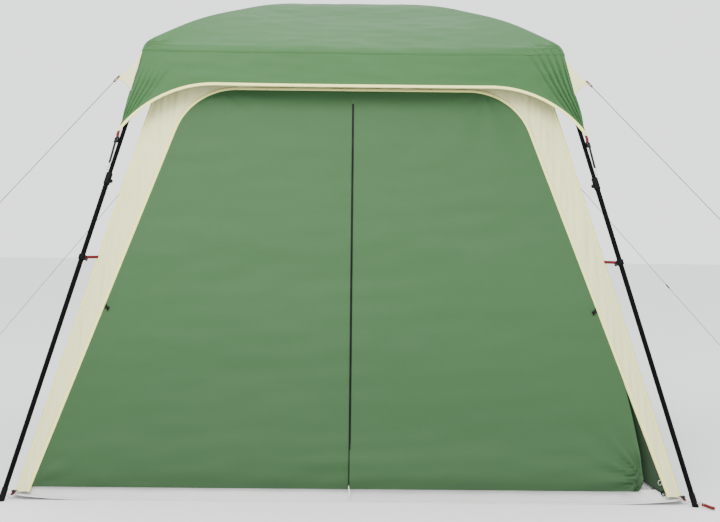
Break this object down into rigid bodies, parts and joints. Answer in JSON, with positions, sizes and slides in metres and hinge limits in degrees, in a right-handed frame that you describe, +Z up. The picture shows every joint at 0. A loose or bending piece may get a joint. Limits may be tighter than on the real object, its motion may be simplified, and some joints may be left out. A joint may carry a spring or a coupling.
{
  "type": "screen house",
  "caption": "Square pop-up shelter: black steel frame outside a green and cream fabric tent with floor mat, zipped front and guy lines.",
  "frame": {"origin": "on the ground, at the middle of the floor", "axes": "+Z up, the zipped front faces -Y, +X to the right of someone who looks at the front"},
  "size_m": [4.9708, 3.039, 2.387],
  "materials": {
    "hub_plastic": "satin",
    "joint_plastic": "satin",
    "button_plastic": "satin",
    "frame_tube": "satin",
    "steel_hardware": "satin",
    "zip_metal": "satin",
    "guy_cord": "matte",
    "fly_fabric": "satin",
    "panel_fabric": "satin",
    "strip_fabric": "matte",
    "mat_sheet": "satin"
  },
  "bodies": {
    "tent": {"fly": "fly_fabric", "floor_mat": "mat_sheet", "wall_front": "strip_fabric", "wall_back": "panel_fabric", "wall_left": "panel_fabric", "wall_right": "panel_fabric"},
    "hub": {"hub_core": "hub_plastic", "hub_cap": "hub_plastic", "hub_pins": "steel_hardware"},
    "arm_fl": {"roof_arm_fl": "frame_tube", "elbow_fl": "joint_plastic", "elbow_pin_fl": "steel_hardware"},
    "upper_fl": {"leg_upper_fl": "frame_tube", "guy_line_fl": "guy_cord"},
    "lower_fl": {"leg_lower_fl": "frame_tube", "leg_collar_fl": "joint_plastic", "foot_fl": "joint_plastic", "foot_pin_fl": "steel_hardware", "wall_clip_fl": "joint_plastic"},
    "button_fl": {"leg_button_fl": "button_plastic"},
    "runner_fl": {"guy_runner_fl": "joint_plastic"},
    "arm_fr": {"roof_arm_fr": "frame_tube", "elbow_fr": "joint_plastic", "elbow_pin_fr": "steel_hardware"},
    "upper_fr": {"leg_upper_fr": "frame_tube", "guy_line_fr": "guy_cord"},
    "lower_fr": {"leg_lower_fr": "frame_tube", "leg_collar_fr": "joint_plastic", "foot_fr": "joint_plastic", "foot_pin_fr": "steel_hardware", "wall_clip_fr": "joint_plastic"},
    "button_fr": {"leg_button_fr": "button_plastic"},
    "runner_fr": {"guy_runner_fr": "joint_plastic"},
    "arm_br": {"roof_arm_br": "frame_tube", "elbow_br": "joint_plastic", "elbow_pin_br": "steel_hardware"},
    "upper_br": {"leg_upper_br": "frame_tube", "guy_line_br": "guy_cord"},
    "lower_br": {"leg_lower_br": "frame_tube", "leg_collar_br": "joint_plastic", "foot_br": "joint_plastic", "foot_pin_br": "steel_hardware", "wall_clip_br": "joint_plastic"},
    "button_br": {"leg_button_br": "button_plastic"},
    "runner_br": {"guy_runner_br": "joint_plastic"},
    "arm_bl": {"roof_arm_bl": "frame_tube", "elbow_bl": "joint_plastic", "elbow_pin_bl": "steel_hardware"},
    "upper_bl": {"leg_upper_bl": "frame_tube", "guy_line_bl": "guy_cord"},
    "lower_bl": {"leg_lower_bl": "frame_tube", "leg_collar_bl": "joint_plastic", "foot_bl": "joint_plastic", "foot_pin_bl": "steel_hardware", "wall_clip_bl": "joint_plastic"},
    "button_bl": {"leg_button_bl": "button_plastic"},
    "runner_bl": {"guy_runner_bl": "joint_plastic"},
    "door_left": {"door_left": "panel_fabric"},
    "door_right": {"door_right": "panel_fabric"},
    "zip_slider": {"zip_slider": "zip_metal"}
  },
  "joints": [
    {"name": "hub_drop", "type": "slide", "parent": "tent", "child": "hub", "axis": [0, 0, 1], "range_m": [-1.53, 0], "deforming": ["fly", "wall_front", "wall_back", "wall_left", "wall_right", "door_left", "door_right", "guy_line_fl", "guy_line_fr", "guy_line_br", "guy_line_bl"]},
    {"name": "arm_swing_fl", "type": "hinge", "parent": "hub", "child": "arm_fl", "pos_m": [-0.06717, -0.06717, 2.358], "axis": [-0.7071, 0.7071, 0], "range_deg": [0, 103.05]},
    {"name": "leg_swing_fl", "type": "hinge", "parent": "arm_fl", "child": "upper_fl", "pos_m": [-0.96, -0.96, 1.985], "axis": [0.7071, -0.7071, 0], "range_deg": [0, 123.74]},
    {"name": "arm_swing_fr", "type": "hinge", "parent": "hub", "child": "arm_fr", "pos_m": [0.06717, -0.06717, 2.358], "axis": [-0.7071, -0.7071, 0], "range_deg": [0, 103.05]},
    {"name": "leg_swing_fr", "type": "hinge", "parent": "arm_fr", "child": "upper_fr", "pos_m": [0.96, -0.96, 1.985], "axis": [0.7071, 0.7071, 0], "range_deg": [0, 123.74]},
    {"name": "arm_swing_br", "type": "hinge", "parent": "hub", "child": "arm_br", "pos_m": [0.06717, 0.06717, 2.358], "axis": [0.7071, -0.7071, 0], "range_deg": [0, 103.05]},
    {"name": "leg_swing_br", "type": "hinge", "parent": "arm_br", "child": "upper_br", "pos_m": [0.96, 0.96, 1.985], "axis": [-0.7071, 0.7071, 0], "range_deg": [0, 123.74]},
    {"name": "arm_swing_bl", "type": "hinge", "parent": "hub", "child": "arm_bl", "pos_m": [-0.06717, 0.06717, 2.358], "axis": [0.7071, 0.7071, 0], "range_deg": [0, 103.05]},
    {"name": "leg_swing_bl", "type": "hinge", "parent": "arm_bl", "child": "upper_bl", "pos_m": [-0.96, 0.96, 1.985], "axis": [-0.7071, -0.7071, 0], "range_deg": [0, 123.74]},
    {"name": "leg_telescope_fl", "type": "slide", "parent": "upper_fl", "child": "lower_fl", "axis": [-0.2498, -0.2498, -0.9355], "range_m": [-0.52, 0]},
    {"name": "button_press_fl", "type": "slide", "parent": "lower_fl", "child": "button_fl", "axis": [0.6615, 0.6615, -0.3533], "range_m": [-0.003, 0], "stiffness_N_per_m": 900, "springref_m": 0.001},
    {"name": "leg_telescope_fr", "type": "slide", "parent": "upper_fr", "child": "lower_fr", "axis": [0.2498, -0.2498, -0.9355], "range_m": [-0.52, 0]},
    {"name": "button_press_fr", "type": "slide", "parent": "lower_fr", "child": "button_fr", "axis": [-0.6615, 0.6615, -0.3533], "range_m": [-0.003, 0], "stiffness_N_per_m": 900, "springref_m": 0.001},
    {"name": "leg_telescope_br", "type": "slide", "parent": "upper_br", "child": "lower_br", "axis": [0.2498, 0.2498, -0.9355], "range_m": [-0.52, 0]},
    {"name": "button_press_br", "type": "slide", "parent": "lower_br", "child": "button_br", "axis": [-0.6615, -0.6615, -0.3533], "range_m": [-0.003, 0], "stiffness_N_per_m": 900, "springref_m": 0.001},
    {"name": "leg_telescope_bl", "type": "slide", "parent": "upper_bl", "child": "lower_bl", "axis": [-0.2498, 0.2498, -0.9355], "range_m": [-0.52, 0]},
    {"name": "button_press_bl", "type": "slide", "parent": "lower_bl", "child": "button_bl", "axis": [0.6615, -0.6615, -0.3533], "range_m": [-0.003, 0], "stiffness_N_per_m": 900, "springref_m": 0.001},
    {"name": "door_left_swing", "type": "hinge", "parent": "upper_fl", "child": "door_left", "pos_m": [-1.4, -1.45, 0], "axis": [-0.3164, -0.2591, -0.9126], "range_deg": [0, 120]},
    {"name": "door_right_swing", "type": "hinge", "parent": "upper_fr", "child": "door_right", "pos_m": [1.4, -1.45, 0], "axis": [-0.3164, 0.2591, 0.9126], "range_deg": [0, 120]},
    {"name": "zip_travel", "type": "slide", "parent": "door_right", "child": "zip_slider", "axis": [0, 0.2731, 0.962], "range_m": [0, 1.7]},
    {"name": "runner_slide_fl", "type": "slide", "parent": "upper_fl", "child": "runner_fl", "axis": [-0.682, 0, -0.7314], "range_m": [-0.5, 0.04]},
    {"name": "runner_slide_fr", "type": "slide", "parent": "upper_fr", "child": "runner_fr", "axis": [0.7071, 0, -0.7071], "range_m": [-0.5, 0.04]},
    {"name": "runner_slide_br", "type": "slide", "parent": "upper_br", "child": "runner_br", "axis": [0.6756, 0, -0.7373], "range_m": [-0.5, 0.3]},
    {"name": "runner_slide_bl", "type": "slide", "parent": "upper_bl", "child": "runner_bl", "axis": [-0.6428, 0, -0.766], "range_m": [-0.5, 0.3]}
  ],
  "couplings": [
    {"joint": "arm_swing_fl", "follows": "hub_drop", "rad_per_m": -1.175},
    {"joint": "leg_swing_fl", "follows": "hub_drop", "rad_per_m": -1.4109},
    {"joint": "arm_swing_fr", "follows": "hub_drop", "rad_per_m": -1.175},
    {"joint": "leg_swing_fr", "follows": "hub_drop", "rad_per_m": -1.4109},
    {"joint": "arm_swing_br", "follows": "hub_drop", "rad_per_m": -1.175},
    {"joint": "leg_swing_br", "follows": "hub_drop", "rad_per_m": -1.4109},
    {"joint": "arm_swing_bl", "follows": "hub_drop", "rad_per_m": -1.175},
    {"joint": "leg_swing_bl", "follows": "hub_drop", "rad_per_m": -1.4109}
  ]
}
